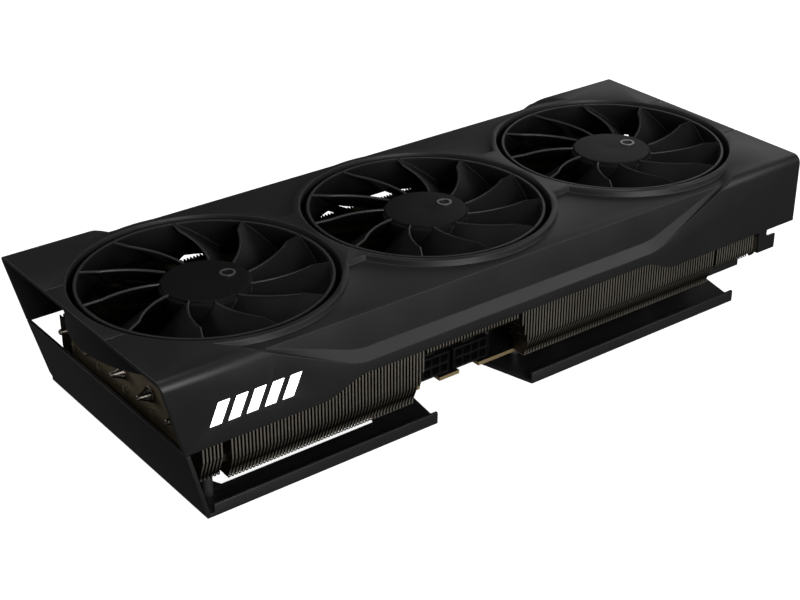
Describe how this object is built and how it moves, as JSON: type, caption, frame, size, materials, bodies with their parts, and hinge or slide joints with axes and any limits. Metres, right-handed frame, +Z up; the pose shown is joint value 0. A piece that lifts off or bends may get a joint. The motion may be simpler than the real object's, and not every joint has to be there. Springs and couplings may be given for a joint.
{
  "type": "graphics card",
  "caption": "Long graphics card with round fans under a dark shroud, a finned cooler with heat pipes, a board with power sockets and slot contacts, and a backplate.",
  "frame": {"origin": "on the backplate's resting face, straight below the middle fan's axis", "axes": "+X along the card from the open tail end to the bracket, +Y across it from the power-socket edge to the slot-contact edge, +Z up from the backplate to the fans"},
  "size_m": [0.3364, 0.138, 0.062],
  "materials": {
    "shroud_plastic": "satin moulded",
    "backplate_metal": "dark grey powder coat",
    "board": "solder mask",
    "gold_contact": "gilded",
    "chip_carrier": "laminate",
    "silicon": "polished",
    "chip_black": "moulded epoxy",
    "thermal_pad": "soft pad",
    "choke_block": "pressed powder",
    "capacitor_can": "drawn can",
    "connector_black": "moulded nylon",
    "socket_steel": "tinned",
    "bracket_steel": "satin",
    "screw_dark": "black oxide",
    "copper_nickel": "nickel plated",
    "heat_pipe": "nickel plated copper",
    "fin_metal": "dark nickel plated",
    "light_guide": "clear, lit from behind",
    "led_board": "solder mask",
    "standoff_metal": "turned",
    "spring_steel": "spring steel",
    "screw_bright": "nickel plated",
    "fan_plastic": "satin moulded",
    "fan_frame_plastic": "moulded",
    "stator_winding": "enamelled wire",
    "magnet": "bonded ferrite",
    "shaft_steel": "ground",
    "bearing_bronze": "sintered",
    "badge_metal": "satin"
  },
  "bodies": {
    "card": {"shroud": "shroud_plastic", "backplate": "backplate_metal", "circuit_board": "board", "edge_contacts": "gold_contact", "gpu_package": "chip_carrier", "gpu_die": "silicon", "memory_chips": "chip_black", "memory_pads": "thermal_pad", "chokes": "choke_block", "capacitors": "capacitor_can", "power_stages": "chip_black", "power_connector_1": "connector_black", "power_connector_2": "connector_black", "power_pins": "gold_contact", "display_sockets": "socket_steel", "video_socket": "socket_steel", "io_bracket": "bracket_steel", "bracket_screws": "screw_dark", "cold_plate": "copper_nickel", "heat_pipes": "heat_pipe", "fin_stack_tail": "fin_metal", "fin_stack_middle": "fin_metal", "fin_stack_head": "fin_metal", "fin_end_plate": "fin_metal", "light_guide": "light_guide", "led_board": "led_board", "standoffs": "standoff_metal", "backplate_screws": "screw_dark", "spring_plate": "spring_steel", "retention_screws": "screw_bright", "fan_frame_1": "fan_frame_plastic", "fan_stator_1": "stator_winding", "fan_bearing_1": "bearing_bronze", "fan_frame_2": "fan_frame_plastic", "fan_stator_2": "stator_winding", "fan_bearing_2": "bearing_bronze", "fan_frame_3": "fan_frame_plastic", "fan_stator_3": "stator_winding", "fan_bearing_3": "bearing_bronze"},
    "fan_1": {"fan_rotor_1": "fan_plastic", "fan_magnet_1": "magnet", "fan_shaft_1": "shaft_steel", "fan_badge_1": "badge_metal"},
    "fan_2": {"fan_rotor_2": "fan_plastic", "fan_magnet_2": "magnet", "fan_shaft_2": "shaft_steel", "fan_badge_2": "badge_metal"},
    "fan_3": {"fan_rotor_3": "fan_plastic", "fan_magnet_3": "magnet", "fan_shaft_3": "shaft_steel", "fan_badge_3": "badge_metal"}
  },
  "joints": [
    {"name": "fan_spin_1", "type": "hinge", "parent": "card", "child": "fan_1", "pos_m": [-0.107, 0, 0.055], "axis": [0, 0, 1], "continuous": true},
    {"name": "fan_spin_2", "type": "hinge", "parent": "card", "child": "fan_2", "pos_m": [0, 0, 0.055], "axis": [0, 0, 1], "continuous": true},
    {"name": "fan_spin_3", "type": "hinge", "parent": "card", "child": "fan_3", "pos_m": [0.107, 0, 0.055], "axis": [0, 0, 1], "continuous": true}
  ]
}
